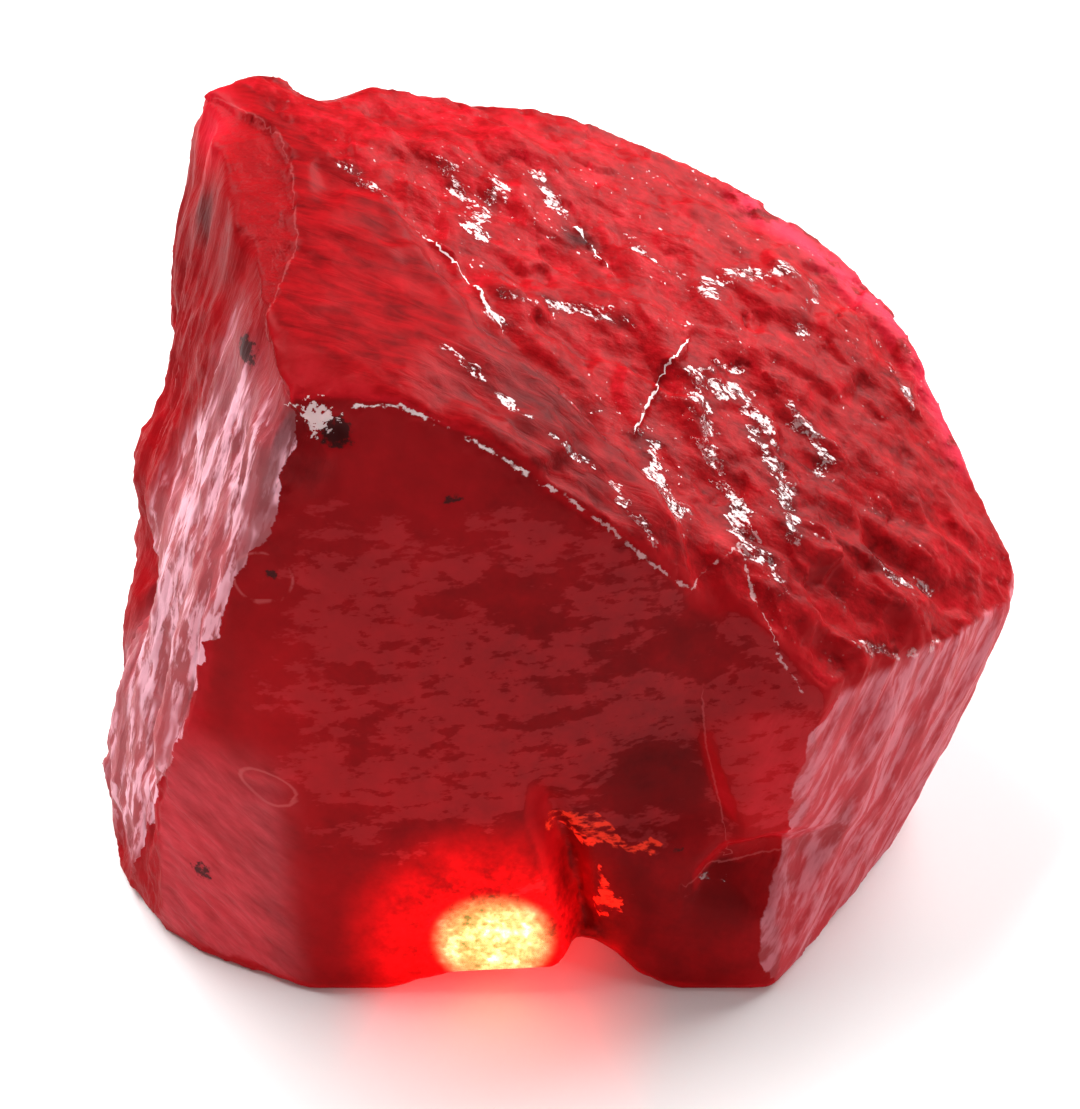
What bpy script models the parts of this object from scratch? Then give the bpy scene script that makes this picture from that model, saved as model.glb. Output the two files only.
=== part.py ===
"""Raw ruby crystal: one broken block of corundum, standing on its flattest fracture face.

The block is the convex hull of its named corners. Shell-shaped flakes are cut out of it, and its broken
faces then get their swells, ledges, ridges and hackle. Lengths are in millimetres until the last step,
which turns them into metres. +X runs to the right along the smooth front face, +Y to the back and +Z up.
The finished part's origin is under the middle of its box, on the surface that it stands on.
"""

import math

import bmesh
import bpy
import numpy as np
from mathutils import Euler, Matrix, Vector, noise

MM = 0.001
NAME = "ruby_crystal"
GRAIN = 0.6          # size of the cells that the cut block is remeshed with
FACES_KEPT = 9000    # triangles in the finished stone
FOOT_TRIM = 0.2      # what is sawn off below, so that the foot is truly flat

# Corners of the block, in millimetres, before anything is broken out of it.
TOP_REAR = {
    "tip_knob": (-15.2, 28.5, 41.7),
    "tip": (-17.8, 27.0, 41.5),
    "rear_left": (-5.0, 33.5, 37.2),
    "rear_middle": (2.3, 36.0, 34.8),
    "rear_right": (9.3, 37.0, 30.8),
    "shoulder_high": (13.9, 36.3, 27.6),
    "shoulder_rear": (17.6, 34.3, 26.2),
    "shoulder_middle": (20.4, 30.6, 24.6),
    "shoulder_low": (22.2, 27.1, 22.6),
    "right_rear": (23.8, 24.3, 20.3),
    "right_end": (25.1, 21.5, 18.0),
    "right_tip": (27.0, 19.0, 15.8),
}
TOP_FRONT = {
    "brow": (-12.1, 4.2, 37.2),
    "brow_left": (-13.2, 8.0, 39.6),
    "lip_high": (-6.6, 3.8, 37.5),
    "lip_middle": (-2.4, 3.5, 35.1),
    "lip_low": (3.0, 3.3, 31.1),
    "lip_end": (7.4, 3.2, 27.1),
    "ledge_rear": (-6.2, 18.0, 38.6),
    "ledge_middle": (-3.0, 13.0, 37.2),
    "front_right": (14.9, 3.5, 19.4),
    "right_edge": (22.8, 12.0, 16.6),
    "right_nose": (26.8, 17.0, 14.7),
}
LEFT_SIDE = {
    "left_high": (-19.3, 29.0, 34.5),
    "left_upper": (-20.6, 27.0, 28.8),
    "left_bulge": (-21.5, 18.0, 22.6),
    "left_middle": (-22.6, 15.5, 16.0),
    "left_low": (-23.9, 14.8, 9.2),
    "left_toe": (-24.9, 13.6, 3.0),
    "left_heel": (-24.8, 12.4, 1.2),
    "front_edge_high": (-15.1, 3.2, 26.2),
    "front_edge_low": (-19.8, 4.0, 13.9),
}
REAR_SIDE = {
    "rear_left_swell": (-17.0, 30.0, 16.2),
    "rear_swell": (-2.0, 37.5, 18.2),
    "rear_right_swell": (12.5, 38.0, 14.2),
    "right_swell": (24.0, 24.0, 8.8),
    "right_flank": (25.0, 18.2, 8.6),
}
FOOT = {
    "foot_front_left": (-12.4, 0.6, 0.0),
    "foot_left": (-19.2, 3.8, 0.0),
    "foot_corner": (-21.0, 5.4, 0.0),
    "foot_far_left": (-24.1, 9.8, 0.0),
    "foot_rear_left": (-17.0, 26.0, 0.0),
    "foot_rear": (1.0, 32.0, 0.0),
    "foot_rear_right": (16.0, 28.0, 0.0),
    "foot_right": (22.0, 16.6, 0.0),
    "foot_right_middle": (19.3, 10.6, 0.0),
    "foot_front_right": (12.6, 0.7, 0.0),
}
CORNERS = {**TOP_REAR, **TOP_FRONT, **LEFT_SIDE, **REAR_SIDE, **FOOT}

# Flakes broken out of the block: middle, half sizes, and turn about X, Y and Z in degrees.
FLAKES = {
    "base_arch": ((-0.4, 0.5, -1.2), (8.6, 7.5, 2.9), (0, 0, 0)),
    "cleft_foot": ((2.6, 0.2, -0.2), (2.7, 4.5, 2.9), (0, 0, 0)),
    "saddle_scar": ((-11.4, 33.0, 42.6), (3.4, 6.5, 4.1), (0, 14, 0)),
}

# Broad swells and dishes on the faces: middle, radius, and height along the face's normal.
SWELLS = {
    "left_belly": ((-21.7, 17.0, 24.0), 3.2, 0.7),
    "left_neck": ((-20.9, 23.0, 27.0), 3.3, -1.3),
    "left_waist": ((-22.0, 14.6, 18.2), 3.0, -1.8),
    "heel_waist": ((13.2, 2.2, 8.6), 3.2, -0.7),
    "front_belly": ((-4.0, 2.6, 20.0), 11.0, 0.5),
    "front_scar": ((5.4, 1.6, 13.6), 3.6, -0.9),
    "top_dish": ((1.5, 22.0, 35.0), 4.0, -0.7),
    "top_dome": ((12.0, 27.0, 29.0), 6.5, 0.5),
}

# Ledges: the side to the left of the path, seen from outside, is lower. Each point ends with its drop.
LEDGES = {
    "top_ledge": (9.0, [(-8.5, 22, 39.4, 0), (-6.1, 16.9, 38.6, 1.0), (-3.0, 12, 37.0, 1.3),
                        (3.0, 9.0, 32.3, 1.2), (5.5, 7.6, 30.1, 1.0), (7.6, 4.4, 27.2, 0.3)]),
    "cleft_ledge": (4.0, [(-0.3, 2.2, 17.0, 0), (0.3, 1.9, 12.0, 0.8), (1.1, 1.7, 9.3, 1.2),
                          (1.6, 1.5, 6.5, 1.2), (2.2, 1.3, 3.0, 1.0)]),
    "front_ledge": (4.5, [(10.0, 1.8, 8.6, 0), (10.4, 2.0, 11.3, 1.1), (8.8, 2.3, 15.9, 1.3),
                          (8.4, 2.6, 19.7, 0.7), (7.8, 2.9, 23.0, 0)]),
    "heel_ledge": (4.0, [(14.4, 2.4, 9.6, 1.0), (12.7, 2.1, 9.9, 1.5), (10.0, 1.8, 9.7, 1.6),
                         (8.5, 1.6, 8.4, 1.4), (7.9, 1.5, 6.0, 0.4)]),
    "shelf_ledge": (5.0, [(13.5, 3.4, 19.6, 0), (11.3, 3.6, 22.4, 0.6), (9.3, 4.6, 25.4, 0.8),
                          (7.6, 6.2, 28.0, 0)]),
}

# Ridges, and grooves where the height is negative: half width, then points that end with the height.
RIDGES = {
    "cleft": (0.8, [(-0.3, 2.2, 16.2, 0), (0.4, 1.9, 12.0, -1.0), (1.3, 1.7, 9.0, -1.5),
                    (2.4, 1.3, 3.0, -1.2)]),
    "left_rib_front": (1.1, [(-14.6, 5.5, 33.0, 0.2), (-16.6, 5.4, 25.0, 0.7), (-19.4, 5.8, 15.0, 0.5)]),
    "left_rib_middle": (1.2, [(-15.9, 9.5, 32.0, 0), (-18.6, 9.4, 24.0, 0.8), (-21.4, 9.0, 13.0, 0.6),
                              (-22.6, 9.4, 6.0, 0)]),
    "left_valley": (1.0, [(-17.4, 7.2, 26.0, 0), (-19.6, 7.2, 18.0, -0.9), (-21.0, 7.4, 12.0, -0.4)]),
    "left_rib_rear": (1.3, [(-21.8, 13.2, 17.0, 0), (-22.6, 12.4, 13.0, 0.5), (-23.6, 12.2, 8.0, 0.5)]),
    "shelf_rib_low": (0.9, [(9.0, 5.8, 26.4, 0.3), (13.3, 5.8, 22.4, 0.8), (17.0, 6.9, 18.6, 0.2)]),
    "shelf_rib_middle": (0.9, [(11.6, 9.6, 26.0, 0.2), (15.2, 10.0, 22.8, 0.7), (20.4, 10.6, 18.2, 0.3)]),
    "shelf_rib_high": (0.9, [(14.4, 14.0, 25.6, 0.2), (18.6, 14.2, 21.4, 0.6), (23.4, 14.6, 17.2, 0.2)]),
    "right_rib_front": (1.0, [(18.6, 7.6, 15.6, 0.3), (15.8, 4.6, 8.0, 0.6), (13.6, 2.4, 1.5, 0.3)]),
    "right_rib_rear": (1.1, [(22.6, 11.8, 15.0, 0.4), (18.8, 8.0, 8.0, 0.6), (15.8, 4.8, 2.0, 0.3)]),
}

# Places where the break ran smoothly: middle, radius, and how much of the hackle is missing there.
CALM = {
    "brow": ((-9.0, 9.0, 38.6), 6.5, 0.8),
    "rear_edge": ((4.0, 31.5, 34.5), 4.5, 0.6),
    "shoulder": ((21.5, 22.0, 22.0), 5.0, 0.5),
}

# Hackle on each broken face: the way that it faces, the size of its lumps along and across the grain, the
# direction of the grain, the height of the lumps, and how much each small facet is tilted.
HACKLE = {
    "top": ((0.52, -0.12, 0.85), (5.0, 3.2), (0.66, -0.25, -0.55), 0.45, 0.30),
    "front": ((0.0, -1.0, 0.08), (9.0, 6.0), (1.0, 0.0, 0.0), 0.14, 0.03),
    "left": ((-0.90, -0.32, 0.28), (9.0, 2.4), (-0.28, -0.15, -0.95), 0.50, 0.10),
    "right": ((0.78, -0.6, -0.15), (11.0, 2.2), (-0.45, -0.40, -0.80), 0.42, 0.06),
    "rear": ((0.05, 0.98, 0.0), (9.0, 6.0), (0.7, 0.0, 0.7), 0.9, 0.16),
    "rear_left": ((-0.75, 0.62, -0.1), (8.0, 5.0), (0.2, 0.3, -0.9), 0.8, 0.16),
    "rear_right": ((0.75, 0.62, -0.15), (8.0, 5.0), (-0.3, 0.3, -0.9), 0.8, 0.16),
}


def hull_of(corners):
    """The convex block on these corners, as a bmesh."""
    block = bmesh.new()
    for corner in corners:
        block.verts.new(Vector(corner))
    made = bmesh.ops.convex_hull(block, input=block.verts)
    inside = [item for item in made["geom_interior"] if isinstance(item, bmesh.types.BMVert)]
    bmesh.ops.delete(block, geom=inside, context="VERTS")
    bmesh.ops.recalc_face_normals(block, faces=block.faces)
    return block


def new_object(name, shape, collection):
    """An object in this collection, made from a bmesh, which is freed."""
    mesh = bpy.data.meshes.new(name)
    shape.to_mesh(mesh)
    shape.free()
    made = bpy.data.objects.new(name, mesh)
    collection.objects.link(made)
    return made


def new_collection(name):
    collection = bpy.data.collections.new(name)
    bpy.context.scene.collection.children.link(collection)
    return collection


def cutter(name, shape, collection):
    """A hidden object that is only there to cut with."""
    made = new_object(name, shape, collection)
    made.hide_render = True
    made.display_type = "WIRE"
    return made


def flake(name, middle, half_sizes, turn, collection):
    """A shell-shaped flake: an ellipsoid with its own half sizes and turn."""
    shape = bmesh.new()
    bmesh.ops.create_icosphere(shape, subdivisions=4, radius=1.0)
    turned = Euler([math.radians(angle) for angle in turn]).to_matrix().to_4x4()
    place = Matrix.Translation(middle) @ turned @ Matrix.Diagonal((*half_sizes, 1.0))
    bmesh.ops.transform(shape, matrix=place, verts=shape.verts)
    return cutter(name, shape, collection)


def cut(stone, tool):
    boolean = stone.modifiers.new(f"cut {tool.name}", "BOOLEAN")
    boolean.operation = "DIFFERENCE"
    boolean.solver = "EXACT"
    boolean.object = tool


def settle(stone):
    """Apply the stone's modifiers."""
    depsgraph = bpy.context.evaluated_depsgraph_get()
    finished = bpy.data.meshes.new_from_object(stone.evaluated_get(depsgraph))
    stone.modifiers.clear()
    stone.data = finished


def from_path(points, path):
    """For each point: its offset from the nearest place on the path, that place's value and direction."""
    path = np.array(path, float)
    nearest = np.full(len(points), np.inf)
    offset = np.zeros_like(points)
    value = np.zeros(len(points))
    heading = np.zeros_like(points)
    for start, end in zip(path[:-1], path[1:]):
        run = end[:3] - start[:3]
        share = np.clip((points - start[:3]) @ run / (run @ run), 0.0, 1.0)
        away = points - (start[:3] + share[:, None] * run)
        distance = np.linalg.norm(away, axis=1)
        closer = distance < nearest
        nearest[closer] = distance[closer]
        offset[closer] = away[closer]
        value[closer] = (start[3] + share * (end[3] - start[3]))[closer]
        heading[closer] = run / np.linalg.norm(run)
    return offset, value, heading


def swells(points):
    height = np.zeros(len(points))
    for middle, radius, rise in SWELLS.values():
        distance = np.linalg.norm(points - np.array(middle), axis=1)
        height += rise * np.exp(-((distance / radius) ** 2))
    return height


def ledges(points, normals):
    """On its low side a ledge drops at once, and the drop then fades over its reach."""
    height = np.zeros(len(points))
    for reach, path in LEDGES.values():
        offset, drop, heading = from_path(points, path)
        side = np.sum(offset * np.cross(normals, heading), axis=1)
        low = 1.0 / (1.0 + np.exp(-side / (0.3 * GRAIN)))
        fade = np.exp(-((np.linalg.norm(offset, axis=1) / reach) ** 2))
        height -= drop * low * fade
    return height


def ridges(points):
    height = np.zeros(len(points))
    for half_width, path in RIDGES.values():
        offset, rise, _ = from_path(points, path)
        distance = np.linalg.norm(offset, axis=1)
        height += rise * np.exp(-((distance / half_width) ** 2))
    return height


def tilted_facet(spot):
    """The height of the small flat facet that this spot is on: each is a cell with a tilt of its own."""
    cell = noise.voronoi(spot)[1][0]
    seed = cell * 5.3
    tilt = Vector((noise.noise(seed), noise.noise(seed.yzx), noise.noise(seed.zxy)))
    return tilt.dot(spot - cell)


def calm(points):
    """The share of the hackle that is left at each point."""
    left = np.ones(len(points))
    for middle, radius, missing in CALM.values():
        distance = np.linalg.norm(points - np.array(middle), axis=1)
        left *= 1.0 - missing * np.exp(-((distance / radius) ** 4))
    return left


def hackle(points, normals):
    """Lumps drawn out along each face's own grain, broken into small tilted facets."""
    height = np.zeros(len(points))
    for order, (facing, (long, short), grain, rise, tilt) in enumerate(HACKLE.values()):
        facing = np.array(facing) / np.linalg.norm(facing)
        share = np.clip((normals @ facing - 0.72) / 0.2, 0.0, 1.0)
        along = Vector(grain).normalized()
        out = Vector(facing)
        across = out.cross(along).normalized()
        for index in np.nonzero(share)[0]:
            place = Vector(points[index])
            depth = place.dot(out) / short + 9 * order
            spot = Vector((place.dot(along) / long, place.dot(across) / short, depth))
            lump = noise.noise(spot) + 0.4 * noise.noise(spot * 2.1)
            height[index] += share[index] * (rise * lump + tilt * short * tilted_facet(spot))
    return height


def carve(stone):
    """Move the stone's surface in and out by its relief, and leave its foot flat."""
    mesh = stone.data
    count = len(mesh.vertices)
    points = np.empty(count * 3)
    mesh.vertices.foreach_get("co", points)
    points = points.reshape(count, 3)
    normals = np.empty(count * 3)
    mesh.vertices.foreach_get("normal", normals)
    normals = normals.reshape(count, 3)
    height = swells(points) + ledges(points, normals) + ridges(points)
    height += calm(points) * hackle(points, normals)
    under = np.clip((points[:, 2] - 0.5 * GRAIN) / 2.0, 0.0, 1.0)
    points += normals * (height * under)[:, None]
    mesh.vertices.foreach_set("co", points.ravel())
    mesh.update()


def remesh(stone):
    cells = stone.modifiers.new("grain", "REMESH")
    cells.mode = "VOXEL"
    cells.voxel_size = GRAIN


def thin_out(stone):
    """Collapse edges until the count of triangles is the one asked for."""
    now = sum(len(face.vertices) - 2 for face in stone.data.polygons)
    collapse = stone.modifiers.new("collapse", "DECIMATE")
    collapse.ratio = FACES_KEPT / now
    collapse.use_collapse_triangulate = True


def saw_flat(stone, collection):
    """Saw a thin slice off below, which leaves the flat foot."""
    slab = bmesh.new()
    bmesh.ops.create_cube(slab, size=1.0)
    depth = 10.0
    place = Matrix.Translation((0, 18, FOOT_TRIM - depth / 2)) @ Matrix.Diagonal((90, 90, depth, 1))
    bmesh.ops.transform(slab, matrix=place, verts=slab.verts)
    cut(stone, cutter("foot_saw", slab, collection))


def place_on_origin(stone):
    """Bring the middle of the box's underside to the origin, in metres."""
    corners = np.array([vertex.co for vertex in stone.data.vertices])
    low, high = corners.min(axis=0), corners.max(axis=0)
    middle = Vector(((low[0] + high[0]) / 2, (low[1] + high[1]) / 2, low[2]))
    stone.data.transform(Matrix.Scale(MM, 4) @ Matrix.Translation(-middle))


def ruby_material():
    material = bpy.data.materials.new("raw_ruby")
    material.use_nodes = True
    surface = material.node_tree.nodes["Principled BSDF"]
    surface.inputs["Base Color"].default_value = (0.50, 0.012, 0.022, 1.0)
    surface.inputs["Roughness"].default_value = 0.28
    surface.inputs["Metallic"].default_value = 0.0
    surface.inputs["IOR"].default_value = 1.77
    return material


def build():
    for old in list(bpy.data.objects):
        bpy.data.objects.remove(old)
    ruby = new_collection("raw_ruby_crystal")
    tools = new_collection("cutters")
    stone = new_object(NAME, hull_of(CORNERS.values()), ruby)
    for name, (middle, half_sizes, turn) in FLAKES.items():
        cut(stone, flake(name, middle, half_sizes, turn, tools))
    remesh(stone)
    settle(stone)
    carve(stone)
    thin_out(stone)
    saw_flat(stone, tools)
    settle(stone)
    place_on_origin(stone)
    stone.data.name = NAME
    stone.data.materials.clear()
    stone.data.materials.append(ruby_material())
    return stone


if __name__ == "__main__":
    build()
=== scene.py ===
import math

import bmesh
import bpy
import numpy as np
from mathutils import Matrix, Vector, noise


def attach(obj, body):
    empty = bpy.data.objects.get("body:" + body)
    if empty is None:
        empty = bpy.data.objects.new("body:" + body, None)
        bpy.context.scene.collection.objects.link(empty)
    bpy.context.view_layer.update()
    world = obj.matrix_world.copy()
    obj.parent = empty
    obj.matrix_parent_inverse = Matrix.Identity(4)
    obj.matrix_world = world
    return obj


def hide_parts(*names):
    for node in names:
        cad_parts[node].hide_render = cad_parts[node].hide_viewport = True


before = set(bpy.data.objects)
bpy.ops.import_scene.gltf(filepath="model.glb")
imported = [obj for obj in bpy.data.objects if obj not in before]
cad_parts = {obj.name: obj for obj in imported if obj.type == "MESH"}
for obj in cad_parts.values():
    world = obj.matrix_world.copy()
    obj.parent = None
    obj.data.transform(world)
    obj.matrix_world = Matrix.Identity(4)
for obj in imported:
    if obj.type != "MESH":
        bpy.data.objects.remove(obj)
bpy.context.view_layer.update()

MM = 0.001


# The camera. It looks down on the stone from in front and from close up, as a person with the stone on
# the table before them does.
camera_data = bpy.data.cameras.new("camera")
camera_data.sensor_fit = "VERTICAL"
camera_data.sensor_height = 36.0
camera_data.lens = 90.0
camera_data.clip_start = 1 * MM
camera = bpy.data.objects.new("camera", camera_data)
bpy.context.scene.collection.objects.link(camera)
bpy.context.scene.camera = camera
LOOKED_AT = Vector((-0.82, -2.93, 18.0)) * MM
LOOKS_DOWN = math.radians(38)
CAMERA_DISTANCE = 153 * MM
backwards = Vector((0, -math.cos(LOOKS_DOWN), math.sin(LOOKS_DOWN)))
camera.location = LOOKED_AT + CAMERA_DISTANCE * backwards
camera.rotation_euler = backwards.to_track_quat("Z", "Y").to_euler()


# The stone: one block of corundum, broken on every side. It starts as the frame's own solid, is remeshed
# finely enough for its grain, and each face then gets the relief that its break left. Places are in mm.
CELL = 0.22
TRIANGLES = 190000
WELD = 0.001
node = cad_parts["ruby_crystal"]
stone = bpy.data.objects.new("rough_ruby", node.data.copy())
bpy.context.scene.collection.objects.link(stone)
shape = bmesh.new()
shape.from_mesh(stone.data)
bmesh.ops.remove_doubles(shape, verts=shape.verts, dist=WELD * MM)
bmesh.ops.scale(shape, vec=(1 / MM, 1 / MM, 1 / MM), verts=shape.verts)
shape.to_mesh(stone.data)
shape.free()


def settle(piece):
    """Apply the piece's modifiers to its mesh."""
    depsgraph = bpy.context.evaluated_depsgraph_get()
    finished = bpy.data.meshes.new_from_object(piece.evaluated_get(depsgraph))
    piece.modifiers.clear()
    piece.data = finished


def smooth(piece, rounds):
    """Give the piece a modifier that rounds its surface off, more with more rounds."""
    soften = piece.modifiers.new("soften", "SMOOTH")
    soften.factor = 0.5
    soften.iterations = rounds


def read(mesh, what):
    """A mesh's points or normals, as an array."""
    values = np.empty(len(mesh.vertices) * 3)
    mesh.vertices.foreach_get(what, values)
    return values.reshape(-1, 3)


def unit(vector):
    """The vector, brought to a length of 1."""
    return np.array(vector, float) / np.linalg.norm(vector)


def ramp(values, low, high):
    """0 at low, 1 at high and smooth between, whichever of the two is the larger."""
    share = np.clip((values - low) / (high - low), 0.0, 1.0)
    return share * share * (3 - 2 * share)


def facet_height(spot):
    """The height of the small flat facet that this spot is on: each is a cell with a tilt of its own."""
    cell = noise.voronoi(spot)[1][0]
    seed = cell * 5.3
    tilt = Vector((noise.noise(seed), noise.noise(seed.yzx), noise.noise(seed.zxy)))
    return tilt.dot(spot - cell)


def crest_height(spot):
    """The height of a crest at this spot: sharp above, rounded below."""
    return 0.6 - 2 * abs(noise.noise(spot))


class Surface:
    """The stone's points and normals, and the patterns that its relief and its colours are made of."""

    def __init__(self, piece, rounds):
        broad = piece.copy()
        broad.data = piece.data.copy()
        bpy.context.scene.collection.objects.link(broad)
        smooth(broad, rounds)
        settle(broad)
        self.points = read(piece.data, "co")
        self.normals = read(piece.data, "normal")
        self.facing = read(broad.data, "normal")
        bpy.data.objects.remove(broad)

    def near(self, middle, radii):
        """1 at the middle, fading out past the radius, which may differ along x, y and z."""
        offset = (self.points - np.array(middle)) / np.array(radii)
        return np.exp(-np.sum(offset * offset, axis=1))

    def pattern(self, height, where, size, seed, grain, stretch):
        """A pattern's height where it is wanted at all, with its lumps drawn out along the grain."""
        chosen = np.nonzero(where > 0.01)[0]
        spots = self.points[chosen] / size
        if grain is not None:
            spots = spots - np.outer(spots @ unit(grain) * (1 - 1 / stretch), unit(grain))
        values = np.zeros(len(self.points))
        values[chosen] = [height(Vector(spot)) for spot in spots + 17.3 * seed]
        return values * where

    def lumps(self, where, size, seed, grain=None, stretch=1.0):
        """Soft rounded lumps."""
        return self.pattern(noise.noise, where, size, seed, grain, stretch)

    def crests(self, where, size, seed, grain=None, stretch=1.0):
        """Sharp crests with rounded valleys between them."""
        return self.pattern(crest_height, where, size, seed, grain, stretch)

    def facets(self, where, size, seed, grain=None, stretch=1.0):
        """Small flat facets, each with a tilt of its own."""
        return self.pattern(facet_height, where, size, seed, grain, stretch)

    def from_path(self, path, ragged=0.0):
        """The distance from a path of straight runs: positive on its left, seen from outside."""
        points = self.points
        if ragged:
            ones = np.ones(len(points))
            jog = np.stack([self.lumps(ones, 1.3, 30 + axis) for axis in range(3)], axis=1)
            points = points + ragged * jog
        nearest = np.full(len(points), np.inf)
        side = np.ones(len(points))
        path = np.array(path, float)
        for start, end in zip(path[:-1], path[1:]):
            run = end - start
            share = np.clip((points - start) @ run / (run @ run), 0.0, 1.0)
            away = points - start - share[:, None] * run
            distance = np.linalg.norm(away, axis=1)
            closer = distance < nearest
            nearest[closer] = distance[closer]
            side[closer] = np.sign(np.sum(away * np.cross(self.facing, run), axis=1))[closer]
        return nearest * side

    def rim(self, path, width):
        """1 on the path, fading out to either side of it."""
        return np.exp(-((self.from_path(path) / width) ** 2))


# Paths along the stone's edges, steps and cracks.
BROW_EDGE = [(-10.8, 2.0, 39.5), (-7.0, -1.7, 37.5), (-3.8, -6.2, 35.6), (-1.8, -6.9, 34.2),
             (2.2, -9.4, 31.0), (4.7, -11.3, 29.3), (6.6, -16.0, 26.0)]
FRONT_TOP_EDGE = [(-12.7, -15.4, 36.7), (-7.5, -15.6, 36.9), (-5.6, -15.8, 35.9), (-3.2, -16.1, 34.6),
                  (2.1, -16.2, 30.5), (4.1, -16.4, 28.5), (6.6, -16.0, 26.0)]
SHELF_EDGE = [(6.6, -16.0, 26.0), (8.2, -14.0, 26.3), (9.2, -12.6, 26.1), (10.0, -14.6, 24.2),
              (11.5, -15.9, 21.2), (12.5, -16.1, 19.5)]
LEFT_FRONT_EDGE = [(-14.2, -12.0, 38.9), (-12.9, -15.0, 37.0), (-12.7, -15.5, 35.1), (-13.0, -15.7, 33.4),
                   (-13.6, -16.0, 31.2), (-14.0, -16.2, 29.6), (-15.8, -16.1, 27.0), (-16.5, -16.3, 24.3),
                   (-17.7, -15.9, 22.6), (-18.5, -15.9, 18.7), (-20.5, -15.6, 13.5), (-22.5, -13.5, 7.0)]
RIGHT_FRONT_EDGE = [(14.4, -15.2, 18.1), (13.1, -16.4, 16.7), (12.3, -17.0, 12.8), (12.1, -16.1, 7.9),
                    (11.2, -18.0, 5.0), (11.0, -18.6, 2.4), (12.3, -18.4, 0.0)]
TOP_CRACK = [(-6.6, -1.4, 37.3), (-5.2, -2.4, 36.4), (-4.0, -3.7, 35.9), (-3.4, -5.2, 35.5),
             (-2.9, -5.8, 35.2)]
SLOPE_CRACK = [(7.0, -0.9, 30.8), (5.9, -3.1, 30.8), (5.1, -5.3, 30.5), (4.2, -8.0, 30.4)]
REAR_CRACK = [(1.0, 5.6, 34.0), (1.9, 4.7, 33.4), (2.8, 3.4, 33.0)]
CRACKS = (TOP_CRACK, SLOPE_CRACK, REAR_CRACK)
FAR_RIM = [(11.5, 15.5, 29.6), (16.5, 12.8, 26.8), (20.9, 9.2, 23.9), (23.3, 4.2, 20.0)]
STEP_EDGE = [(7.5, -16.5, 19.3), (7.8, -16.6, 15.6), (8.6, -16.5, 12.3), (9.3, -16.6, 8.6)]
NOTCH_EDGE = [(7.3, -17.8, 7.4), (8.3, -16.8, 7.9), (10.2, -16.3, 7.8), (12.2, -16.1, 8.2)]
RIDGE = [(-17.7, 6.3, 41.2), (-15.6, 4.7, 41.1), (-14.4, 3.7, 40.6), (-13.6, 1.0, 40.3), (-13.2, -2.7, 40.0),
         (-12.9, -5.2, 39.8), (-13.3, -7.7, 39.4), (-13.8, -10.7, 39.5), (-14.1, -12.0, 38.5),
         (-12.9, -15.0, 37.0)]
EDGES = (FRONT_TOP_EDGE, SHELF_EDGE)
LEDGES = (STEP_EDGE, NOTCH_EDGE, RIDGE)

# Dark specks under the skin: the middle, radii and strength of each.
SOOT = [((-10.6, -15.7, 35.4), (0.95, 0.95, 0.95), 1.0), ((-15.6, -10.4, 36.5), (1.1, 1.1, 0.8), 1.0),
        ((-5.0, -16.4, 32.0), (0.35, 0.35, 0.35), 1.0), ((-14.1, -16.4, 27.3), (0.35, 0.35, 0.35), 1.0),
        ((-19.0, -16.3, 6.8), (0.7, 0.7, 0.7), 0.8), ((6.4, -17.6, 9.6), (0.4, 0.4, 0.4), 0.8)]

# Marks in the front: the ring-shaped bruise, the chalky patch and the pit beside it, the hollow of the
# oval scar, and the middle of the scar's rim along x and z. TORCHLIT is where torchlight comes out.
BRUISE = (-14.5, -16.3, 27.0)
CHALK = (-11.4, -15.7, 36.1)
PIT = (-10.6, -15.7, 35.5)
HOLLOW = (-15.1, -17.6, 14.0)
SCAR_X = -14.9
SCAR_Z = 14.2
TORCHLIT = (-3.3, -18.7, 3.9)

# Small faces deep in the cleft, with torchlight from the foot painted on them in orange-red: middle and
# radii.
FACETS_WITH_PAINTED_TORCHLIGHT = [((0.8, -16.7, 11.2), (1.5, 1.5, 0.6)), ((2.2, -16.9, 10.3), (1.7, 1.5, 0.8)),
          ((4.6, -17.4, 9.6), (0.6, 1.2, 0.5)), ((2.6, -17.2, 7.8), (0.4, 1.2, 0.7)),
          ((2.8, -17.1, 5.6), (0.5, 1.2, 1.1))]

# The directions in which the breaks ran.
SLOPE_GRAIN = (0.62, 0.1, -0.62)
BROW_GRAIN = (0.9, -0.1, -0.3)
LEFT_GRAIN = (-0.28, -0.10, -0.95)
RIGHT_GRAIN = (-0.45, -0.42, -0.79)
LOW_LEFT_GRAIN = (0.75, -0.2, -0.6)
ACROSS = (1.0, 0.0, 0.12)

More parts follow.
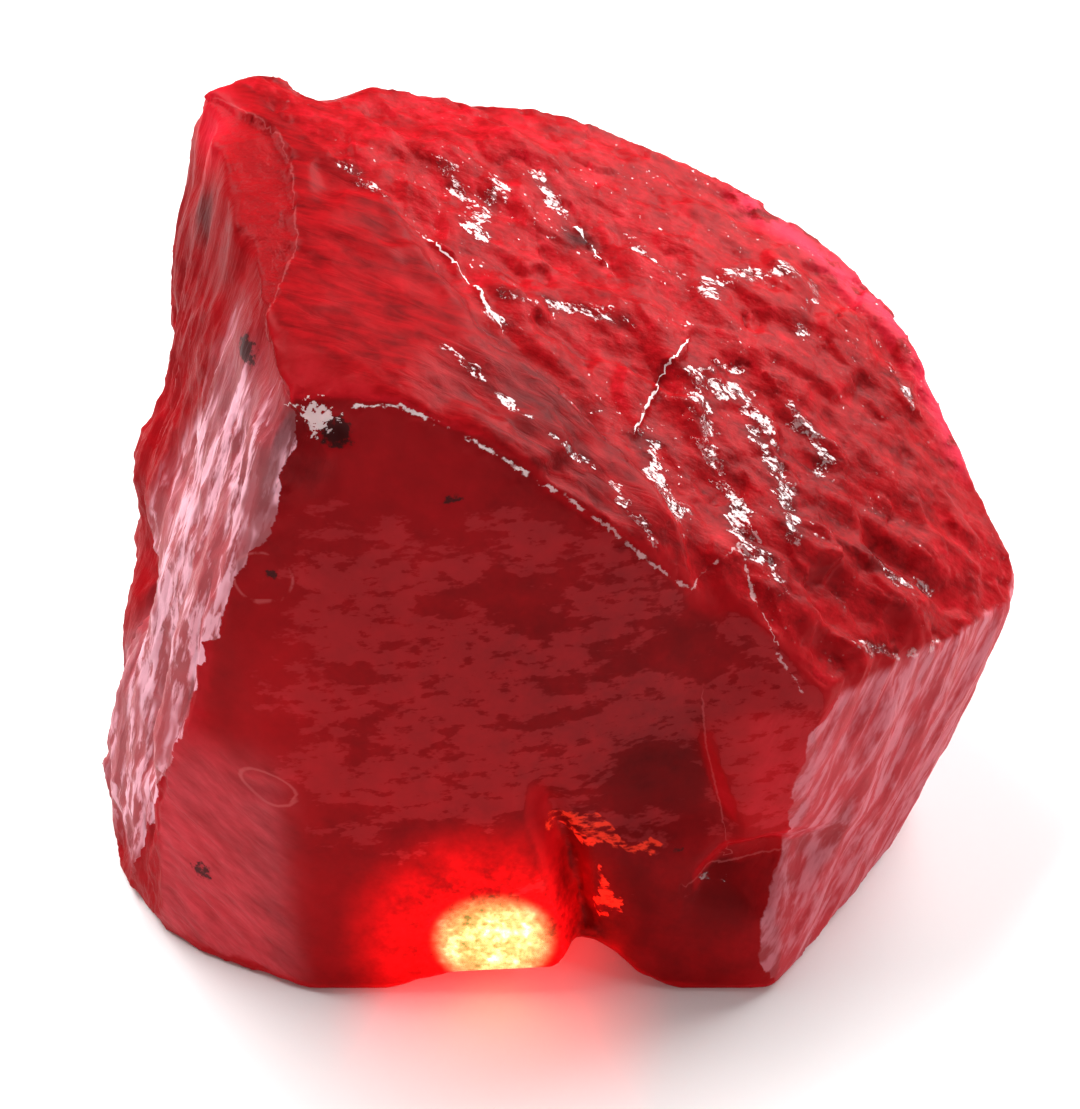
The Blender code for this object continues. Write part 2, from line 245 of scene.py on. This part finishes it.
# Where the break is glassy and shines: the middle of each run of shining spots, and its half width.
SHINING = [
    (0.66, [(-6.0, 5.6, 38.0), (-4.5, 3.1, 36.6)]),
    (0.77, [(-3.1, 6.3, 36.4), (-4.1, 0.8, 36.3)]),
    (0.71, [(-1.0, 8.3, 35.7), (0.2, 6.3, 34.6)]),
    (0.33, [(1.3, 5.6, 33.8), (2.8, 3.3, 32.9)]),
    (0.61, [(4.1, 6.1, 32.5), (5.8, 4.9, 31.8)]),
    (0.88, [(7.8, 3.6, 31.1), (10.2, 6.8, 30.0), (13.4, 9.7, 28.6)]),
    (0.61, [(14.7, 10.0, 27.3), (13.3, 4.4, 27.6)]),
    (0.55, [(-2.7, -3.7, 35.6), (0.2, -1.7, 33.7), (3.6, -1.4, 32.4)]),
    (0.33, [(-0.4, -11.1, 34.1), (2.5, -8.0, 31.2)]),
    (0.49, [(7.0, -3.1, 30.4), (9.9, -0.2, 28.6)]),
    (1.05, [(7.9, -3.0, 29.4), (9.8, -2.0, 28.2), (11.3, -4.5, 26.9)]),
    (0.99, [(7.5, -4.2, 29.3), (7.7, -6.8, 28.6), (9.3, -9.5, 26.7), (9.7, -12.2, 25.8)]),
    (0.88, [(10.5, -4.2, 27.4), (12.0, -7.1, 25.5), (12.2, -9.8, 25.0)]),
    (0.66, [(12.7, -1.4, 26.5), (14.7, -2.3, 24.9), (14.1, -4.2, 24.4)]),
    (0.93, [(4.7, -8.6, 29.8), (5.0, -11.1, 29.1), (6.0, -12.4, 28.3)]),
    (0.49, [(2.7, -13.9, 30.9), (3.7, -15.1, 29.9), (4.8, -15.5, 29.0)]),
    (0.61, [(10.1, -11.9, 25.6), (11.7, -13.1, 24.0)]),
    (0.66, [(16.9, -7.4, 21.7), (18.0, -8.3, 20.5), (20.0, -6.4, 18.3)]),
    (0.49, [(15.6, -12.9, 20.1), (18.5, -11.2, 17.5), (20.6, -9.0, 16.9)]),
    (0.49, [(-10.9, 2.3, 39.5), (-8.7, 0.6, 38.5)]),
    (0.39, [(7.9, -17.2, 7.4), (9.0, -16.8, 7.0)]),
    (0.48, [(-3.6, -5.2, 35.5), (-2.2, -5.6, 35.0)]),
    (0.34, [(-5.7, -11.0, 37.2), (-4.5, -11.1, 36.6), (-2.4, -12.8, 35.0), (-0.4, -13.6, 33.9),
            (2.5, -13.3, 31.4)]),
    (0.44, [(18.6, 8.0, 24.8), (20.3, 4.0, 22.6)]),
]


def faces_of(surface):
    """How much each point belongs to each broken face."""
    facing, (x, y, z) = surface.facing, surface.points.T
    top = ramp(facing @ unit((0.52, -0.12, 0.85)), 0.74, 0.86)
    ridge = surface.from_path(RIDGE, 0.4)
    past_ridge = ramp(ridge, 0.1, -0.15) * ramp(ridge, -6.0, -4.0) * ramp(x, -10.0, -11.5)
    top = top * (1 - past_ridge)
    brow = top * ramp(surface.from_path(BROW_EDGE), 0.5, -0.5)
    faces_left = ramp(facing @ unit((-0.90, -0.34, 0.26)), 0.82, 0.9)
    left = np.maximum(faces_left * ramp(x, -11.0, -12.5), past_ridge)
    return {
        "slope": top - brow,
        "brow": brow,
        "front": ramp(facing @ unit((0.03, -1.0, 0.1)), 0.88, 0.95),
        "left": left,
        "right": ramp(facing @ unit((0.78, -0.62, -0.05)), 0.84, 0.92) * ramp(x, 11.0, 12.5),
        "low_left": ramp(facing @ unit((-0.5, -0.86, 0.02)), 0.84, 0.97) * ramp(z, 18.0, 13.0)
        * ramp(x, -12.4, -15.4) * (1 - left),
        "back": ramp(facing[:, 1], 0.1, 0.4),
    }


cells = stone.modifiers.new("cells", "REMESH")
cells.mode = "VOXEL"
cells.voxel_size = CELL
smooth(stone, 4)
settle(stone)
surface = Surface(stone, 80)
face = faces_of(surface)
x, y, z = surface.points.T
ribs = face["left"] * ramp(z, 37.5, 32.0)
plain_left = face["left"] - ribs
wet = np.maximum.reduce([surface.rim(path, 1.6 * width) for width, path in SHINING])
shelf = face["slope"] * surface.near((14.0, -10.0, 22.5), 8.0)

relief = 0.30 * surface.facets(face["slope"], 2.6, 1, SLOPE_GRAIN, 1.6)
relief += 0.15 * surface.facets(face["slope"], 1.1, 2) + 0.015 * surface.crests(face["slope"], 0.55, 3)
relief += 0.16 * surface.lumps(wet * face["slope"], 1.1, 4, SLOPE_GRAIN, 1.6)
relief += 0.32 * surface.crests(shelf, 1.6, 5, SLOPE_GRAIN, 6.0)
relief += 0.05 * surface.crests(face["brow"], 1.1, 6, BROW_GRAIN, 4.0)
relief += 0.10 * surface.facets(face["brow"], 1.8, 7, BROW_GRAIN, 2.5)
relief += (0.10 * surface.lumps(face["front"], 5.0, 8)
           + 0.025 * surface.lumps(face["front"], 0.9, 9, ACROSS, 3.0))
relief += (0.40 * surface.crests(ribs, 1.5, 10, LEFT_GRAIN, 7.0)
           + 0.16 * surface.crests(ribs, 0.6, 11, LEFT_GRAIN, 4.0))
relief += (0.20 * surface.lumps(plain_left, 1.8, 12, LEFT_GRAIN, 3.0)
           + 0.05 * surface.lumps(plain_left, 0.6, 13))
relief += 0.26 * surface.crests(face["right"], 1.7, 14, RIGHT_GRAIN, 7.0)
relief += 0.12 * surface.crests(face["right"], 0.7, 15, RIGHT_GRAIN, 5.0)
relief += 0.14 * surface.crests(face["low_left"], 1.2, 16, LOW_LEFT_GRAIN, 5.0)
relief += 0.40 * surface.facets(face["back"], 2.8, 17) + 0.08 * surface.crests(face["back"], 0.9, 18)
relief += 0.30 * surface.facets(surface.rim(FRONT_TOP_EDGE, 0.8), 0.9, 19)
relief += 0.16 * surface.facets(surface.rim(LEFT_FRONT_EDGE, 0.9), 1.0, 20)
relief += 0.22 * surface.facets(surface.rim(SHELF_EDGE, 0.6), 0.6, 21)
for path in CRACKS:
    side = surface.from_path(path, 0.5)
    relief += 0.22 * np.exp(-((side / 0.16) ** 2)) - 0.2 * ramp(side, 0.0, 0.3) * ramp(side, 2.5, 0.3)
relief -= 0.5 * surface.near(PIT, 0.7)
hollow = surface.near(HOLLOW, (1.7, 1.7, 1.0))
relief += 0.6 * hollow * (0.55 - hollow)
ridge = surface.from_path(RIDGE, 0.5)
relief -= 0.4 * ramp(ridge, 0.1, -0.25) * ramp(ridge, -3.5, -1.0) * ramp(x, -10.0, -11.5)
relief *= ramp(z, 0.1, 0.9)
moved = surface.points + surface.normals * relief[:, None]
stone.data.vertices.foreach_set("co", moved.ravel())
stone.data.update()
fewer = stone.modifiers.new("fewer", "DECIMATE")
fewer.ratio = TRIANGLES / (2 * len(stone.data.polygons))
settle(stone)


def keep(name, values):
    """Keep a value with each point, for the finish to follow."""
    kept = stone.data.attributes.new(name, "FLOAT", "POINT")
    kept.data.foreach_set("value", values.astype(np.float32))


surface = Surface(stone, 60)
face = faces_of(surface)
x, y, z = surface.points.T
beside_left = surface.from_path(LEFT_FRONT_EDGE, 0.5)
beside_right = np.where(y > -12.0, 1.0, surface.from_path(RIGHT_FRONT_EDGE, 0.25))

# The frosted ribs, which carry a painted sheen too, reach further back lower down, and the frosted flank,
# with the same painted sheen, stops at the slope's lower edge.
reach = 5.0 + 5.0 * ramp(z, 36.0, 27.0)
ribs = ramp(beside_left + reach, -2.5, 0.0) * ramp(z, 38.5, 34.0) * ramp(z, 1.0, 6.0) * ramp(y, 4.0, 0.0)
slope_edge = 18.6 - 0.2 * (y + 16.4) + 20.0 * ramp(y, -2.0, 1.0)
flank = ramp(x, 9.0, 11.0) * (1 - face["slope"]) * ramp(y, 16.0, 10.0) * ramp(z - slope_edge, 0.3, -0.5)
flank *= ramp(surface.facing[:, 2], 0.62, 0.40)

# Lighter and darker red inside the stone: middle, radii, and how much lighter. Some entries paint light and
# shade
# instead: a glow of light through the thin rims at the top left and far right and through the front's left
# edge, a painted shadow beside the rear crack, and painted shade in the cleft and under the notch.
TONES_AND_PAINTED_LIGHT = [
    ((-4.0, 9.0, 37.0), (9.0, 6.0, 9.0), 0.07),
    ((20.5, 5.0, 23.5), (2.0, 6.0, 3.0), 0.10),
    ((18.5, 2.5, 22.5), (4.0, 5.0, 4.0), -0.12),
    ((14.0, -8.0, 23.0), (6.0, 6.0, 6.0), -0.12),
    ((6.0, -8.0, 29.0), (5.0, 5.0, 5.0), -0.04),
    ((-18.2, 4.6, 39.8), (1.8, 3.4, 2.4), 0.45),
    ((-18.3, 1.5, 37.2), (1.5, 1.7, 1.6), -0.34),
    ((0.0, -14.0, 34.5), (5.0, 4.0, 3.0), -0.16),
    ((-6.0, -16.0, 34.0), (9.0, 3.0, 5.0), 0.12),
    ((2.0, -16.5, 20.0), (7.0, 3.0, 8.0), -0.10),
    ((5.5, -18.0, 2.5), (4.0, 3.0, 3.5), -0.04),
    ((10.0, -16.8, 6.4), (2.6, 3.0, 2.0), -0.10),
    ((-14.5, -17.0, 20.0), (3.0, 3.0, 8.0), 0.12),
    ((-12.0, -18.0, 4.0), (6.0, 3.0, 6.0), 0.04),
    ((-19.0, -15.0, 10.0), (4.0, 4.0, 8.0), 0.12),
    ((11.0, -16.0, 14.0), (3.0, 3.0, 5.0), 0.10),
    ((1.1, 4.5, 33.7), (1.6, 0.9, 0.7), -0.45),
    ((0.9, -16.8, 8.5), (0.8, 2.0, 2.8), -0.30),
    ((2.0, -17.0, 3.4), (1.0, 2.0, 2.6), -0.30),
]
# Each face's tone, set on its own: the darker front, brow and back partly paint the shade those faces are
# in.
FACE_TONES_AND_PAINTED_SHADE = {"slope": -0.03, "brow": -0.13, "front": -0.15, "low_left": 0.06, "back": -0.09}
tone = 0.5 + 0.08 * flank
for name, lighter in FACE_TONES_AND_PAINTED_SHADE.items():
    tone += lighter * face[name]
# Painted shade: darker in the scoop left of the step's edge, on the cleft's right wall and under the notch's
# overhang.
step = surface.from_path(STEP_EDGE, 0.3)
tone -= 0.18 * ramp(step, 0.1, -0.1) * surface.near((5.5, -16.5, 14.5), (3.2, 3.0, 3.4))
tone -= 0.14 * surface.near((3.8, -17.2, 6.5), (2.2, 2.5, 3.6))
notch = surface.from_path(NOTCH_EDGE, 0.3)
tone -= 0.16 * ramp(notch, 0.08, -0.08) * surface.near((9.6, -17.0, 6.6), (2.6, 3.0, 2.2))
tone -= 0.10 * face["left"] * ramp(z, 27.0, 32.0)
for middle, radii, lighter in TONES_AND_PAINTED_LIGHT:
    tone += lighter * surface.near(middle, radii)

# A painted reflection of the pale floor over the front face, laid on as a pinkish veil, and the places left
# out of it.
UNREFLECTED_PLACES = [
    ((-1.8, -16.5, 26.0), (3.9, 3.0, 2.4), 0.6), ((4.6, -16.5, 22.3), (2.9, 3.0, 1.3), 0.6),
    ((-10.0, -16.5, 22.0), (1.8, 3.0, 0.9), 0.5), ((-10.1, -16.5, 17.5), (1.0, 3.0, 0.9), 0.5),
    ((5.4, -16.5, 14.2), (2.8, 3.0, 2.6), 0.7),
]
painted_reflection = 0.72 * ramp(x, -18.0, -10.0) * ramp(z, 34.0, 27.5) * ramp(z, 5.0, 15.0)
for middle, radii, share in UNREFLECTED_PLACES:
    painted_reflection -= share * surface.near(middle, radii)
painted_reflection *= face["front"]

FACES = ("slope", "brow", "front", "left", "low_left", "back")
for name in FACES:
    keep(name, face[name])
keep("ribs", ribs)
keep("flank", flank)
keep("beside_left", beside_left.clip(-1, 1))
keep("beside_right", beside_right.clip(-1, 1))
keep("tone", tone)
keep("painted_reflection", painted_reflection)
keep("wet", np.maximum.reduce([surface.rim(path, width) for width, path in SHINING]))
# Painted light: where the glow through the thin far rim is painted on.
keep("painted_rim_glow", surface.rim(FAR_RIM, 1.3))
keep("chipped", 0.35 + 0.65 * ramp(x, 3.0, -3.0))
for name, paths in (("edge", EDGES), ("ledge", LEDGES), ("crack", CRACKS)):
    sides = np.stack([surface.from_path(path) for path in paths])
    side = np.take_along_axis(sides, np.abs(sides).argmin(axis=0)[None], axis=0)[0]
    keep(name + "_side", side.clip(-1, 1))
    keep(name + "_near", ramp(np.abs(side), 0.9, 0.4))
keep("painted_torchlight", sum(surface.near(middle, radii) for middle, radii in FACETS_WITH_PAINTED_TORCHLIGHT))
keep("chalk", surface.near(CHALK, 0.95))
keep("soot", sum(strength * surface.near(middle, radii) for middle, radii, strength in SOOT))
keep("bruise", np.linalg.norm(surface.points - np.array(BRUISE), axis=1))
keep("glow", surface.near(TORCHLIT, 4.2))
across = x - SCAR_X
up = z - SCAR_Z
oval = np.hypot(0.9 * across - 0.44 * up, 1.7 * (0.44 * across + 0.9 * up))
keep("oval", oval + 9 * ramp(y, -16.0, -14.0))
stone.data.transform(Matrix.Scale(MM, 4))
stone.data.shade_smooth()


# The stone's finish: glassy corundum, deep red inside and frosted where the break left it ribbed. Some
# light, shade and reflections are painted into its colour.
class Value:
    """A socket's output that can be reckoned with: each operator adds a Math node."""

    def __init__(self, finish, socket):
        self.finish = finish
        self.socket = socket

    def reckon(self, operation, first, second):
        """The outcome of a Math node."""
        return self.finish.node("Math", {"operation": operation}, {0: first, 1: second})

    def __add__(self, other):
        return self.reckon("ADD", self, other)

    def __radd__(self, other):
        return self.reckon("ADD", other, self)

    def __sub__(self, other):
        return self.reckon("SUBTRACT", self, other)

    def __rsub__(self, other):
        return self.reckon("SUBTRACT", other, self)

    def __mul__(self, other):
        return self.reckon("MULTIPLY", self, other)

    def __rmul__(self, other):
        return self.reckon("MULTIPLY", other, self)


class Finish:
    """A node material under construction."""

    def __init__(self, name):
        self.material = bpy.data.materials.new(name)
        self.material.use_nodes = True
        self.tree = self.material.node_tree
        self.surface = self.tree.nodes["Principled BSDF"]

    def fill(self, node, inputs):
        """Set or link the node's inputs."""
        for name, value in inputs.items():
            if isinstance(value, Value):
                self.tree.links.new(value.socket, node.inputs[name])
            else:
                node.inputs[name].default_value = value

    def node(self, kind, settings, inputs, output=0):
        """Add a node of this kind and return one of its outputs."""
        made = self.tree.nodes.new("ShaderNode" + kind)
        stops = settings.pop("stops", None)
        for name, value in settings.items():
            setattr(made, name, value)
        if stops:
            ramp_stops = made.color_ramp.elements
            while len(ramp_stops) < len(stops):
                ramp_stops.new(0.5)
            for stop, (position, colour) in zip(ramp_stops, stops):
                stop.position = position
                stop.color = (*colour, 1.0)
        self.fill(made, inputs)
        return Value(self, made.outputs[output])

    def attribute(self, name):
        """A value that was kept with each point."""
        return self.node("Attribute", {"attribute_name": name}, {}, "Fac")

    def between(self, value, low, high):
        """0 below low, 1 above high, and smooth between."""
        settings = {"interpolation_type": "SMOOTHSTEP"}
        return self.node("MapRange", settings, {"Value": value, "From Min": low, "From Max": high})

    def mix(self, share, first, second):
        """The first colour, with this share of the second laid over it."""
        settings = {"data_type": "RGBA", "clamp_factor": True}
        return self.node("Mix", settings, {"Factor": share, 6: first, 7: second}, 2)


ruby = Finish("rough_ruby")
place = ruby.node("TexCoord", {}, {}, "Object")


def along(grain, stretch):
    """Object coordinates turned so that a pattern is drawn out along the grain."""
    turned = Vector((1, 0, 0)).rotation_difference(Vector(grain)).to_euler()
    inputs = {"Vector": place, "Rotation": turned, "Scale": (stretch, 1, 1)}
    return ruby.node("Mapping", {"vector_type": "TEXTURE"}, inputs)


def cloud(size, detail, rough, where=place, twist=0.0):
    """Noise around 0.5 in lumps of this size in mm."""
    inputs = {
        "Vector": where,
        "Scale": 1 / (size * MM),
        "Detail": detail,
        "Roughness": rough,
        "Distortion": twist,
    }
    return ruby.node("TexNoise", {}, inputs, "Fac")


slope, brow, front, left, low_left, back = map(ruby.attribute, FACES)
broken = slope + 0.35 * back
ribs, flank, beside_left, beside_right = map(
    ruby.attribute, ("ribs", "flank", "beside_left", "beside_right"))
tone, painted_reflection, wet, painted_rim_glow, chipped, glow = map(
    ruby.attribute, ("tone", "painted_reflection", "wet", "painted_rim_glow", "chipped", "glow"))
painted_torchlight, chalk, soot, bruise, oval = map(
    ruby.attribute, ("painted_torchlight", "chalk", "soot", "bruise", "oval"))
fine = cloud(0.35, 3.0, 0.6)
waves = cloud(0.55, 1.0, 0.5)
mottle = cloud(1.6, 4.0, 0.6)
drops = cloud(0.75, 3.0, 0.62, along(SLOPE_GRAIN, 1.5))
slope_lines = cloud(0.9, 3.0, 0.6, along(SLOPE_GRAIN, 3.0))
brow_lines = cloud(0.8, 3.0, 0.6, along(BROW_GRAIN, 3.5), 0.8)
left_lines = cloud(0.6, 4.0, 0.62, along(LEFT_GRAIN, 6.0))
left_bands = cloud(2.2, 3.0, 0.6, along(LEFT_GRAIN, 4.0))
right_lines = cloud(0.7, 3.0, 0.6, along(RIGHT_GRAIN, 4.0))
low_lines = cloud(0.7, 3.0, 0.62, along(LOW_LEFT_GRAIN, 4.0))
across_front = along(ACROSS, 2.2)
flecks = cloud(0.6, 4.0, 0.65, across_front)
patches = cloud(2.4, 5.0, 0.68, across_front)


def spots(where, clouds, jag, low, high):
    """Patches with jagged outlines, about where the mask is high."""
    return ruby.between(where + (clouds - 0.5) * jag * ruby.between(where, 0.0, 0.2), low, high)


def line(name, jog, outer, inner):
    """A fine line along the paths kept under this name: it wavers by the jog and fades out to outer."""
    side = ruby.attribute(name + "_side") + (fine - 0.5) * jog
    distance = ruby.node("Math", {"operation": "ABSOLUTE"}, {0: side})
    return ruby.attribute(name + "_near") * ruby.between(distance, outer, inner)


painted_reflection_patches = ruby.between(painted_reflection + (patches - 0.5) * 2.6, 0.42, 0.54) * ruby.between(flecks, 0.38, 0.46) * front
sparks = ruby.between(cloud(0.3, 1.0, 0.5), 0.69, 0.74) * ruby.between(patches, 0.50, 0.58) * slope
shining = spots(wet, drops, 3.4, 0.76, 0.84) * ruby.between(fine, 0.34, 0.42)
cracks_and_painted_glints = line("crack", 0.3, 0.12, 0.07)
painted_ledge_highlights = line("ledge", 0.3, 0.10, 0.03)
chips_and_painted_glints = line("edge", 0.6, 0.13, 0.07) * chipped * ruby.between(mottle, 0.48, 0.54)
scar = ruby.between(oval, 1.40, 1.55) * ruby.between(oval, 1.78, 1.6)
bruised = ruby.between(bruise, 1.38, 1.48) * ruby.between(bruise, 1.62, 1.50)
ring = scar + bruised * ruby.between(mottle, 0.46, 0.56)
chalky = spots(chalk, fine, 2.6, 0.5, 0.62)
sooty = spots(soot, fine, 1.2, 0.36, 0.6)
painted_torchlight_colour = spots(painted_torchlight, slope_lines, 2.6, 0.45, 0.6) * ruby.between(flecks, 0.42, 0.56)
on_left = ribs * ruby.between(beside_left + (fine - 0.5) * 0.5, 0.05, -0.05)
on_right = flank * ruby.between(beside_right + (fine - 0.5) * 0.3, -0.05, 0.1)

mottled = 0.24 + 0.28 * slope + 0.3 * back + 0.2 * brow + 1.6 * glow
shade = tone + (mottle - 0.5) * mottled + (slope_lines - 0.5) * 0.42 * broken
shade = shade + (fine - 0.5) * (0.06 + 0.25 * slope + 1.2 * glow)
shade = shade + (brow_lines - 0.5) * 0.5 * brow + painted_reflection_patches * 0.075
shade = shade + (low_lines - 0.5) * 0.5 * low_left - 0.12 * wet * slope
red = ruby.node("ValToRGB", {"stops": [
    (0.0, (0.04, 0.001, 0.001)),
    (0.25, (0.15, 0.002, 0.003)),
    (0.5, (0.36, 0.004, 0.007)),
    (0.75, (0.62, 0.010, 0.022)),
    (1.0, (0.92, 0.030, 0.070)),
]}, {"Fac": shade})
# Painted reflection: the pale floor seen in the front face, laid on as a pinkish veil.
colour = ruby.mix(painted_reflection_patches * 0.05, red, (0.50, 0.20, 0.22, 1))
# The frost on the ribs and the flank is partly a painted sheen, standing in for the pale floor they reflect.
streaks = ruby.between(left_lines, 0.43, 0.56)
frost_and_painted_sheen = on_left * (0.10 + 0.90 * streaks * (0.12 + 0.88 * ruby.between(left_bands, 0.44, 0.52)))
frost_and_painted_sheen = frost_and_painted_sheen + on_right * (0.06 + 0.28 * ruby.between(right_lines, 0.42, 0.62))
frost_and_painted_sheen = frost_and_painted_sheen + back * 0.03 * ruby.between(patches, 0.42, 0.66)
colour = ruby.mix(frost_and_painted_sheen + low_left * 0.14 * low_lines, colour, (0.90, 0.42, 0.51, 1))
# Painted light: a hot pink glow on the far rim, where light through the thin edge is painted into the
# colour.
colour = ruby.mix(painted_rim_glow * 0.55 * ruby.between(mottle, 0.36, 0.50), colour, (1.0, 0.045, 0.11, 1))
colour = ruby.mix(sooty * 0.9, colour, (0.03, 0.008, 0.008, 1))
# Painted light: orange-red torchlight on the small faces in the cleft.
colour = ruby.mix(painted_torchlight_colour * 0.8, colour, (0.90, 0.05, 0.02, 1))
# Painted highlights: faint light lines along the step, the notch's rim and the ridge. The rings are the
# stone's own marks.
colour = ruby.mix(painted_ledge_highlights * 0.15 + ring * 0.22, colour, (0.80, 0.22, 0.22, 1))
# Painted highlights: white glints along the cracks and on the edge chips. The chalky patch is the stone's
# own white.
colour = ruby.mix(cracks_and_painted_glints * 0.9 + chips_and_painted_glints * 0.85 + chalky * 0.75, colour, (0.95, 0.76, 0.76, 1))

height = (waves - 0.5) * 0.15 * shining + (fine - 0.5) * (0.012 + 0.015 * slope)
height = height + (slope_lines - 0.5) * broken * 0.09 + (brow_lines - 0.5) * brow * 0.06
height = height + (left_lines - 0.5) * left * 0.16 + (right_lines - 0.5) * flank * 0.12
height = height + (low_lines - 0.5) * low_left * 0.14
bumps = ruby.node("Bump", {}, {"Strength": 1.0, "Distance": MM, "Height": height})
roughness = 0.44 - 0.31 * shining - 0.3 * sparks - 0.14 * chips_and_painted_glints
gloss = 0.04 - 0.02 * slope - 0.02 * brow + shining + sparks + 0.01 * left + 0.45 * on_left
gloss = gloss + 0.04 * back + 0.2 * on_right + 0.1 * low_left + chips_and_painted_glints + cracks_and_painted_glints

# Dull where light sinks into the stone, and glossy where the break is glassy or frosted.
RUBY_IOR = 1.77
layer = {"Base Color": colour, "Roughness": roughness, "Normal": bumps, "IOR": RUBY_IOR}
ruby.fill(ruby.surface, {**layer, "Specular IOR Level": 0.01})
deep = Value(ruby, ruby.surface.outputs[0])
clear = ruby.node("BsdfPrincipled", {}, {**layer, "Specular IOR Level": 0.5})
both = ruby.node("MixShader", {}, {"Fac": gloss, 1: deep, 2: clear})
ruby.fill(ruby.tree.nodes["Material Output"], {"Surface": both})
stone.data.materials.clear()
stone.data.materials.append(ruby.material)
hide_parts("ruby_crystal")
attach(stone, "root")


# The studio: a plain white paper floor and soft white light from above and from both sides, with a small
# torch held to the stone's foot.
PAPER_HALF_WIDTH = 0.6
floor_shape = bmesh.new()
bmesh.ops.create_grid(floor_shape, x_segments=2, y_segments=2, size=PAPER_HALF_WIDTH)
floor = bpy.data.objects.new("floor", bpy.data.meshes.new("floor"))
floor_shape.to_mesh(floor.data)
floor_shape.free()
bpy.context.scene.collection.objects.link(floor)
paper = Finish("white_paper")
paper.fill(paper.surface, {"Base Color": (0.9, 0.9, 0.9, 1), "Roughness": 0.9, "Specular IOR Level": 0.0})
floor.data.materials.append(paper.material)

world = bpy.data.worlds.new("studio")
bpy.context.scene.world = world
world.use_nodes = True
room = world.node_tree.nodes["Background"]
room.inputs["Color"].default_value = (1, 1, 1, 1)
room.inputs["Strength"].default_value = 0.10
bpy.context.scene.view_settings.view_transform = "Standard"


def lamp(name, place, aim, size, power):
    """A soft white square lamp at a place, in mm, aimed at a point."""
    data = bpy.data.lights.new(name, "AREA")
    data.size = size * MM
    data.energy = power
    made = bpy.data.objects.new(name, data)
    bpy.context.scene.collection.objects.link(made)
    made.location = Vector(place) * MM
    made.rotation_euler = (Vector(place) - Vector(aim)).to_track_quat("Z", "Y").to_euler()


CENTRE = (0, 0, 18)
lamp("left_key", (-150, 90, 280), CENTRE, 200, 1.45)
lamp("right_key", (150, 150, 135), CENTRE, 170, 0.95)
lamp("right_fill", (240, -60, 120), CENTRE, 160, 0.15)
lamp("front_fill", (0, -260, 130), CENTRE, 160, 0.10)


# The torch's beams start in front of the foot: low ones graze the floor and leave it white, the high one
# reddens it.
BEAM_X = -3.3
BEAM_Y = -75.0
LOW = 7.0
HIGH = 45.0


def torch_light(name, place, radius, height, power, colour):
    """Torchlight that comes out at the stone's foot: a narrow beam, from this height, on the place where
    it comes out."""
    out = Vector(place) * MM
    data = bpy.data.lights.new(name, "SPOT")
    made = bpy.data.objects.new(name, data)
    made.location = Vector((BEAM_X, BEAM_Y, height)) * MM
    data.energy = power
    data.color = colour
    data.spot_size = 2 * math.atan(radius * MM / (made.location - out).length)
    data.spot_blend = 1.0
    data.shadow_soft_size = 0.2 * MM
    bpy.context.scene.collection.objects.link(made)
    made.rotation_euler = (made.location - out).to_track_quat("Z", "Y").to_euler()
    made.visible_glossy = False


torch_light("torch_core", TORCHLIT, 3.5, LOW, 60, (0.03, 1.0, 0.2))
torch_light("torch_halo", (-3.6, -18.7, 4.2), 8.6, LOW, 0.5, (1.0, 0.0, 0.0))
torch_light("torch_glow", (-4.5, -18.7, 6.0), 34.0, LOW, 0.03, (1.0, 0.0, 0.0))
torch_light("torch_spill", (-3.0, -21.0, 0.0), 10.0, HIGH, 0.14, (1.0, 0.0, 0.0))
